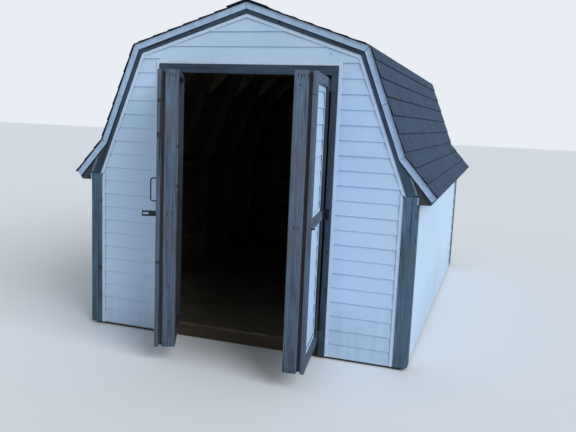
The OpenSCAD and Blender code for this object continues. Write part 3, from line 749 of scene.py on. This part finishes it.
# Ridge cap. Single tabs of the same shingle, bent over the ridge and lapped towards the back.
# Each hides the nails of the one before it.
CAP_PLY = 0.0032
caps, given, add = node_group(
    "ridge_caps", Count=31, Exposure=EXPOSURE, Width=0.298, Length=EXPOSURE + 0.045, Thickness=CAP_PLY,
    Fold=0.010, Fall=-math.tan(UPPER), Tilt=-CAP_PLY / EXPOSURE, Seed=9)
start = add("CombineXYZ", [0, -SHINGLE_END])
pace = add("CombineXYZ", [0, given["Exposure"]])
line = add("GeometryNodeMeshLine", Count=given["Count"], Start_Location=start, Offset=pace)
size = add("CombineXYZ", [given["Width"], given["Length"], given["Thickness"]])
cap = add("GeometryNodeMeshCube", Size=size, Vertices_X=17, Vertices_Y=2, Vertices_Z=2)
ahead = add("Math MULTIPLY", [given["Length"], 0.5])
ahead = add("CombineXYZ", [0, ahead])
cap = add("GeometryNodeTransform", Geometry=cap, Translation=ahead)
at = add("GeometryNodeInputPosition")
aside = add("SeparateXYZ", [at])
square = add("Math MULTIPLY", [aside, aside])
fold = add("Math MULTIPLY_ADD", [given["Fold"], given["Fold"], square])
fold = add("Math SQRT", [fold])
fall = add("Math MULTIPLY", [fold, given["Fall"]])
fall = add("CombineXYZ", [0, 0, fall])
cap = add("GeometryNodeSetPosition", Geometry=cap, Offset=fall)
tilt = add("CombineXYZ", [given["Tilt"]])
shingled(caps, given, line, cap, tilt)
capping = grown(caps, Count=31)
cut_flat(capping, (0, SHINGLE_END, 0), (0, 1, 0))
crest = roof_line(0.0)[0].y + 0.0173 / math.cos(UPPER) - 0.0016
for v in capping.verts:
    v.co.z += crest
fit("ridge_cap_tabs", capping, asphalt, "asphalt_shingle", "ridge_cap")

# Gable trim. Spruce boards follow the roof on both gables, under the overhang of the roof.
# Left bare, they have weathered grey-brown, with open checks and black knots.
weathered_spruce = sawn_timber("weathered_spruce", "#697F9A", "#475970", "#232E3C", "#565C6A", 0.7)
# The same wood a step darker: damp, with shade painted into its colour.
shaded_spruce = sawn_timber("shaded_weathered_spruce", "#455E76", "#33485E", "#14202F", "#3F4755", 0.7)
# The gable trim takes the darker wood in low tones: painted shade
timbers("gable_trim", shaded_spruce, "weathered_timber", tones=(0.1, 0.4))

# Rake strips. White coil aluminium folded round a batten, nailed over the ends of the roof boards.
# The strip is in lengths that butt at the knee, part way down the lower slope, and at the flare.
# The paint has a soft sheen over slow waves in the sheet, and holds dirt in specks.
white_metal, add, place = surface("white_coil_aluminium", 0.38)
waves = add("TexNoise", [place, 7, 1])
grime = add("TexNoise", [place, 26, 5, 0.65])
coat = add("ValToRGB", [grime], stops=[(0.42, "#A1BDDD"), (0.62, "#93AECE"), (0.80, "#7188A4")])
finish(white_metal, coat, (grime, 0.3, 0.5), (waves, 0.4, 0.004))
TRIM_Y = 1.860
FOLD = [(0.0005, 0.0), (0.0005, 0.0048), (0.0015, 0.0058), (0.0400, 0.0052), (0.0408, 0.0060),
        (0.0432, 0.0060), (0.0440, 0.0052), (0.0440, 0.0)]
FOLD_EDGE = 0.0441
HALF_JOINT = 0.0013
CORNERS = [(way, sign) for way in (-1, 1) for sign in (-1, 1)]
line = roof_line(0.0)
ways = [(b - a).normalized() for a, b in zip(line, line[1:])]
# Each joint is a point with the direction square to its cut
joints = list(zip(line, (Vector((1, 0)), (ways[0] + ways[1]).normalized(), (ways[1] + ways[2]).normalized(),
                         ways[2])))
butt = (line[1] + (line[2] - line[1]) * 0.515, ways[1])
strips = bmesh.new()
battens = bmesh.new()
cut_ends = [*joints[:2], butt, *joints[2:]]
lengths = [(a, b, FOLD, strips) for a, b in zip(cut_ends, cut_ends[1:])]
# The batten's edge shows under the fold as a painted shadow line
for a, b, wide, back in zip(joints, joints[1:], (0.0052, 0.0052, 0.0090), (0.0, 0.0, -0.0068)):
    lengths.append((a, b, [(FOLD_EDGE, back), (FOLD_EDGE, 0.0034), (FOLD_EDGE + wide, 0.0022),
                           (FOLD_EDGE + wide, back)], battens))
for way, sign in CORNERS:
    for a, b, profile, whole in lengths:
        part = bmesh.new()
        run = (b[0] - a[0]).normalized() * 0.1
        swept(part, [a[0] - run, b[0] + run], [(-c, o) for c, o in profile],
              lambda x, z, outward: Vector((x, outward, z)))
        for joint, ahead in ((a, -1), (b, 1)):
            normal = joint[1] * ahead
            off = joint[0] - normal * (0.0 if joint is joints[-1] else HALF_JOINT)
            cut_flat(part, (off.x, 0, off.y), (normal.x, 0, normal.y))
        for v in part.verts:
            v.co = (sign * v.co.x, way * (TRIM_Y + v.co.y), v.co.z)
        join(whole, part)
fit("rake_strips_folded", strips, white_metal, "white_metal", "rake_strips")
# Batten wood painted nearly black: a painted shadow line along the folded edge of the strip.
shadow_batten = speckled("batten_wood_painted_shadow", 0.8, (40, 4), [(0.4, "#111926"), (0.7, "#243243")])
fit("rake_battens", battens, shadow_batten, "framing_timber")

# Boxed eaves. An eave board hangs under the end of the flare, a soffit closes the underside level,
# and a cut board fills the triangle at each end. All are bare spruce; the eave boards and soffits are drawn
# dark as painted shade under the flare.
# Dark splashed wood in low tones: painted shade under the flare
for node in ("eave_boards", "eave_soffits"):
    timbers(node, splashed_shaded_spruce, "weathered_timber", tones=(0.0, 0.3))
# Out of the sun the same spruce has gone brown, dull and a little violet. On the backs of the doors it also
# stands for painted shade.
browned_and_shaded_spruce = sawn_timber("browned_and_shaded_spruce", "#535969", "#3B404F", "#1C1F29", "#41434B", 0.6)
timbers("eave_end_boards", browned_and_shaded_spruce, "weathered_timber", edge=0.002)
# A small folded tab of the same aluminium wraps each corner of the eaves
tabs_white = bmesh.new()
for way, sign in CORNERS:
    for v in bmesh.ops.create_cube(tabs_white, size=1.0)["verts"]:
        v.co = (sign * (1.2475 + v.co.x * 0.0070), way * (1.8555 + v.co.y * 0.0080), 1.1685 + v.co.z * 0.048)
fit("eave_corner_tabs", eased(tabs_white, 0.0012, 2), white_metal, "white_metal")

# Corner boards. A flat spruce board faces front or back, and a second one laps it on the side.
# Bare and weathered: grey, streaked, with green stain where water runs down.
stained_spruce = sawn_timber("rain_stained_spruce", "#627F99", "#455E76", "#213243", "#49646A", 0.6)
timbers("corner_boards", stained_spruce, "weathered_timber", tones=(0.25, 0.6))

# Door casing. Flat spruce boards frame the doorway, with the head board across their tops.
# They are damp, and are drawn nearly black-grey with painted shade from the open doors.
timbers("door_casing", shaded_spruce, "weathered_timber", tones=(0.2, 0.5))

# Hinges. Butt hinges of pressed steel, black lacquered, screwed to the face of casing and stile.
# The lacquer breaks up into rust in pits.


def hardware(node, body, closed=None):
    """A CAD node's steel with its edges eased. Closed is how its door is turned shut: the flat leaves of
    the upper and lower hinges lie behind the pin there, and show dull zinc."""
    joined = bmesh.new()
    for part in solids(node):
        join(joined, eased(part, STEEL_EDGE, 1))
    if closed:
        for face in joined.faces:
            on_leaf = min((closed @ v.co).y for v in face.verts) > PIN_Y + LEAF
            face.material_index = int(on_leaf and abs(face.calc_center_median().z - HINGE_ZS[1]) > 0.1)
    made = fit(node + "_steel", joined, black_steel, "black_iron", node, body=body)
    if closed:
        made.data.materials.append(grey_zinc)


# Black lacquer gives a low sheen, and breaks up into dull rust in pits.
black_steel, add, place = surface("black_lacquered_steel", 0.45, 0.25)
pits = add("TexNoise", [place, 90, 4, 0.7])
rust = add("MapRange", [pits, 0.56, 0.70])
coat = add("Mix RGBA", [rust, "#0D1116", "#282020"])
finish(black_steel, coat, (rust, 0.5, 0.9), (pits, 0.35, 0.0006))
PIN_X = 0.6210
PIN_Y = -1.865
LEAF = 0.0015
STEEL_EDGE = 0.0004
HINGE_ZS = (1.895, 1.030, 0.165)
# Zinc plate gone dull: dark blue-grey, with rust coming through in specks.
grey_zinc = speckled("dulled_zinc_plate", 0.6, (70, 4, 0.7), [
    (0.40, "#40566C"), (0.60, "#2F3F4F"), (0.72, "#242122")], (0.5, 0.8), specular=0.3)
hardware("casing_hinge_leaves", "shed", Matrix())

# Doors. Each is a frame of spruce on edge with a plywood skin on its front.
# Flat stiles and rails are nailed on the skin's face, and siding fills the two panels between them.


def swing(body):
    """How a body is turned from where it is with closed doors to where it stands."""
    if body == "shed":
        return Matrix()
    sign, angle = (-1, -65.6) if body == "left_door" else (1, 98.3)
    pin = Vector((sign * PIN_X, PIN_Y, 0))
    return Matrix.Translation(pin) @ Matrix.Rotation(math.radians(angle), 4, "Z") @ Matrix.Translation(-pin)


def second_wood(made, turn, material, chosen):
    """Gives another wood to the faces chosen by their middle and normal on the closed door."""
    made.data.materials.append(material)
    closed = turn.inverted()
    for face in made.data.polygons:
        if chosen(closed @ face.center, closed.to_3x3() @ face.normal):
            face.material_index = 1


# Plywood that has stood wet: dark grey-brown, painted almost black as shade where its edge lies recessed
# between the door's frames.
damp_plywood_painted_shade = plywood("damp_plywood_painted_shade", "#191B23", "#12141B", "#0A0C12", (1, 1, 0.15))
# The wood by the hinges is painted nearly black too, as shade in the corner against the casing.
hinge_shade_spruce = sawn_timber("hinge_spruce_painted_shade", "#2C3D50", "#202E3E", "#101A26", "#2E3641", 0.7)
PANEL_FACE = 1.832
PANEL_INNER, PANEL_OUTER = 0.0760, 0.5535
SHADED_PAST = 0.552
DOOR_EDGE = 0.005
for side, sign in SIDES:
    body = side + "_door"
    turn = swing(body)
    # The left door's tones are lower: painted shade makes it darker than the right one
    tones = (0.0, 0.3) if side == "left" else (0.3, 0.6)
    # The back frame, all but its free end, takes the browned wood as painted shade, and the face frame's
    # hinge stile takes the near-black wood, also painted shade
    made = timbers(f"{body}_back_frame", weathered_spruce, "framing_timber", body, DOOR_EDGE, tones)
    second_wood(made, turn, browned_and_shaded_spruce, lambda middle, normal: abs(middle.x) > 0.02 or normal.y > 0.5)
    made = timbers(f"{body}_face_frame", weathered_spruce, "weathered_timber", body, DOOR_EDGE, tones)
    second_wood(made, turn, hinge_shade_spruce, lambda middle, normal: abs(middle.x) > SHADED_PAST)
    fit(f"{body}_skin_sheet", sheet_parts(f"{body}_skin"), damp_plywood_painted_shade, "sheathing_board", f"{body}_skin",
        body=body)
    panels = bmesh.new()
    frames = bmesh.new()
    left, right = sorted((sign * PANEL_INNER, sign * PANEL_OUTER))
    on_door = on_face(PANEL_FACE, turn)
    for low, high in ((0.1795, 0.9975), (1.0625, 1.8805)):
        lapped(panels, box(left, right, low, high), RIGHT_LAP, on_door)
        swept(frames, box(left, right, low, high), LIP, on_door, closed=True)
    fit(f"{body}_courses", panels, white_vinyl, "white_vinyl", f"{body}_siding", body=body)
    fit(f"{body}_channels", frames, smooth_vinyl, "white_vinyl", body=body)
    hardware(f"{body}_hinge_leaves", body, turn.inverted())

# Pull. A steel rod bent round at both ends, welded to two small plates that are screwed on.
# Black lacquered, with rust in pits.
PULL = Vector((-0.0555, -1.860, 1.1725))
PULL_HALF = 0.075
PULL_OUT = 0.037
ROD = 0.0042
BEND = 0.016


def oval(shape, middle, first, second, sides):
    """A ring of corners round a middle, by its two half axes."""
    return [shape.verts.new(middle + math.cos(a) * first + math.sin(a) * second)
            for a in (2 * math.pi * k / sides for k in range(sides))]


pull = bmesh.new()
path = [PULL + Vector((0, 0, PULL_HALF))]
for end in (1, -1):
    corner = PULL + Vector((0, BEND - PULL_OUT, end * (PULL_HALF - BEND)))
    for degrees in range(0, 91, 15)[::end]:
        a = math.radians(degrees)
        path.append(corner + BEND * Vector((0, -math.sin(a), end * math.cos(a))))
path.append(PULL - Vector((0, 0, PULL_HALF)))
rings = []
for before, point, after in zip(path[:1] + path, path, path[1:] + path[-1:]):
    way = (after - before).normalized()
    aside = way.cross(Vector((1, 0, 0))).normalized()
    rings.append(oval(pull, point, ROD * aside, ROD * way.cross(aside), 12))
skinned(pull, rings)
for end in (1, -1):
    middle = PULL + Vector((0, 0, end * (PULL_HALF + 0.012)))
    skinned(pull, [oval(pull, middle + Vector((0, -out, 0)), Vector((0.010 - inset, 0, 0)),
                        Vector((0, 0, 0.024 - inset)), 20)
                   for out, inset in ((0.0, 0.0), (0.0012, 0.0), (0.0020, 0.0010))])
for v in pull.verts:
    v.co = swing("left_door") @ v.co
fit("door_pull_rod", pull, black_steel, "black_iron", "door_pull", body="left_door")

# Hasp and staple. The hasp's slotted strap stands out square from the left door.
# Closed, it would pass over the bent staple on the right one. Both are lacquered steel.
hardware("hasp_plate", "left_door")
hardware("hasp_strap", "hasp_strap")
hardware("hasp_staple", "right_door")

# Nails and screws. Steel nails with flat heads hold the boards, and have rusted brown-black.
# The hinges, the hasp and the pull have round-headed screws.
heads, given, add = node_group("fastener_heads", Radius=0.0036, Top=0.0026, Height=0.0010, Sides=10, Seed=2)
head = add("GeometryNodeMeshCone", Vertices=given["Sides"], Radius_Top=given["Top"],
           Radius_Bottom=given["Radius"], Depth=given["Height"])
facing = add("GeometryNodeInputNamedAttribute", Name="facing", data_type="FLOAT_VECTOR")
askew = add("FunctionNodeRandomValue", Min=(-0.06, -0.06, -0.06), Max=(0.06, 0.06, 0.06),
            Seed=given["Seed"], data_type="FLOAT_VECTOR")
facing = add("VectorMath ADD", [facing, askew])
turned = add("FunctionNodeAlignRotationToVector", Vector=facing, axis="Z")
driven = add("GeometryNodeInstanceOnPoints", Points=given["Geometry"], Instance=head, Rotation=turned)
# Rusted nail steel: brown-black scale, rough and dull.
rusted_steel = speckled("rusted_nail_steel", 0.75, (400, 3), [(0.35, "#181615"), (0.7, "#372820")],
                        (0.6, 0.95))
ended(heads, driven, rusted_steel)
SCREW_Y = -1.8623
FREE_EDGE = 0.0115
STAIN_HALF = 0.0044
STAIN_LENGTH = 0.026
nails, screws = ({body: [] for body in ("shed", "left_door", "right_door")} for _ in range(2))


def drive(heads_of, body, point, way=(0, -1, 0)):
    """Puts a head at a point that is given with the doors closed."""
    turn = swing(body)
    heads_of[body].append((turn @ Vector(point), turn.to_3x3() @ Vector(way)))


def spaced(low, high, pitch):
    """Even places between two ends, about a pitch apart."""
    count = max(1, round((high - low) / pitch))
    return [low + (high - low) * i / count for i in range(count + 1)]


draw = random.Random(31)
for way, sign in CORNERS:
    for z in spaced(0.09, 1.14, 0.35):
        for x in (1.174, 1.222):
            drive(nails, "shed", (sign * x, way * TRIM_Y, z + draw.uniform(-0.012, 0.012)), (0, way, 0))
        for y in (1.773, 1.819):
            drive(nails, "shed", (sign * 1.250, way * y, z - 0.05), (sign, 0, 0))
    inner = roof_line(0.0590)
    for a, b in ((inner[0], inner[1]), (inner[1], inner[2])):
        for share in spaced(0.06, 0.94, 0.22):
            p = a + (b - a) * share
            drive(nails, "shed", (sign * p.x, way * TRIM_Y, p.y), (0, way, 0))
# One more nail shows in the siding over the head board
drive(nails, "shed", (0.610, -1.8513, 2.104))
for sign in (-1, 1):
    for z in spaced(0.09, 1.90, 0.36):
        for x in (0.6350, 0.6600):
            drive(nails, "shed", (sign * x, -TRIM_Y, z + draw.uniform(-0.01, 0.01)))
for x in spaced(-0.64, 0.64, 0.32):
    for z in (1.980, 2.012):
        drive(nails, "shed", (x, -TRIM_Y, z))
# Iron and damp spruce stain each other blue-black: it has run down below the nails in the free edges
iron_stain = speckled("iron_stained_spruce", 0.8, (150, 3), [(0.4, "#0F141C"), (0.7, "#2C3644")])
for side, sign in SIDES:
    body = side + "_door"
    for z in (0.132, 0.163, 1.014, 1.046, 1.897, 1.929):
        for x in (0.028, 0.060, 0.568):
            drive(nails, body, (sign * x, -TRIM_Y, z))
    stains = bmesh.new()
    for z, offs in ((1.920, (0.053, 0.080, 0.094, 0.114)), (1.030, (0.075, 0.103)),
                    (0.140, (0.060, 0.086, 0.112))):
        for off in offs:
            height = z + draw.uniform(-0.004, 0.004)
            drive(nails, body, (sign * FREE_EDGE, off - TRIM_Y, height), (-sign, 0, 0))
            head, way = nails[body][-1]
            aside = way.cross(Vector((0, 0, 1))).normalized() * STAIN_HALF
            corners = (head + aside, head - aside, head - Vector((0, 0, STAIN_LENGTH)))
            skinned(stains, [[stains.verts.new(p + way * lift) for p in corners] for lift in (0.0, 0.0004)])
    fit(body + "_nail_stains", stains, iron_stain, "weathered_timber", body=body)
    for z in HINGE_ZS:
        for off, rise in ((0.018, -0.025), (0.026, 0.0), (0.018, 0.025)):
            drive(screws, "shed", (sign * (PIN_X + off), SCREW_Y, z + rise))
            drive(screws, body, (sign * (PIN_X - off), SCREW_Y, z + rise))
# The hasp's two screws are sunk, for the strap folds back over them
for rise in (-0.010, 0.010):
    drive(screws, "left_door", (-0.0445, -1.8611, 1.0200 + rise))
for end in (1, -1):
    for off in (0.010, 0.027):
        drive(screws, "left_door", PULL + Vector((0, -0.0019, end * (PULL_HALF + off))))
screw = {"Sides": 12, "Radius": 0.0038, "Top": 0.0020, "Height": 0.0016}
for kind, heads_of, values in (("nails", nails, {"Sides": 10}), ("screws", screws, screw)):
    for body, places in heads_of.items():
        points = bpy.data.meshes.new("points")
        points.from_pydata([point for point, _ in places], [], [])
        facing = points.attributes.new("facing", "FLOAT_VECTOR", "POINT")
        facing.data.foreach_set("vector", [c for _, way in places for c in way])
        fit(f"{body}_{kind}", grown(heads, points, **values), rusted_steel, "black_iron", body=body)

# Studio. A plain pale floor, a broad soft lamp high on the right, and even light from all round.
# Camera, reflections and see-through things get a plain pale background.
bpy.ops.mesh.primitive_plane_add(size=120)
floor = bpy.context.object
floor.name = "studio_floor"
paper = surface("pale_studio_floor", 0.9)[0]
paper.node_tree.nodes["Principled BSDF"].inputs["Base Color"].default_value = linear("#DDE4EC")
floor.data.materials.append(paper)

world = bpy.data.worlds.new("studio")
bpy.context.scene.world = world
world.use_nodes = True
world.node_tree.nodes.clear()
add = adder(world.node_tree)
rays = add("LightPath", out="all")
seen = add("Math MAXIMUM", [rays["Is Camera Ray"], rays["Is Glossy Ray"]])
seen = add("Math MAXIMUM", [seen, rays["Is Transmission Ray"]])
even = add("Background", [(1, 1, 1, 1), 0.45])
pale = add("Background", ["#E9EEF4", 1])
both = add("MixShader", [seen, even, pale])
add("OutputWorld", [both])

lamp = bpy.data.lights.new("softbox", "SUN")
lamp.angle = math.radians(40)
lamp.energy = 2.3
softbox = placed("softbox", lamp)
softbox.rotation_euler = Vector((0.72, -0.42, 0.55)).to_track_quat("Z", "Y").to_euler()

lens = bpy.data.cameras.new("camera")
lens.lens = 40.41
lens.sensor_width = 36
lens.clip_end = 200
camera = placed("camera", lens)
camera.matrix_world = (Matrix.Translation((1.7486, -6.107, 1.653))
                       @ Matrix.Rotation(math.radians(18.10), 4, "Z")
                       @ Matrix.Rotation(math.radians(90 - 8.36), 4, "X")
                       @ Matrix.Rotation(math.radians(2.44), 4, "Z"))
bpy.context.scene.camera = camera
bpy.context.scene.view_settings.view_transform = "Standard"
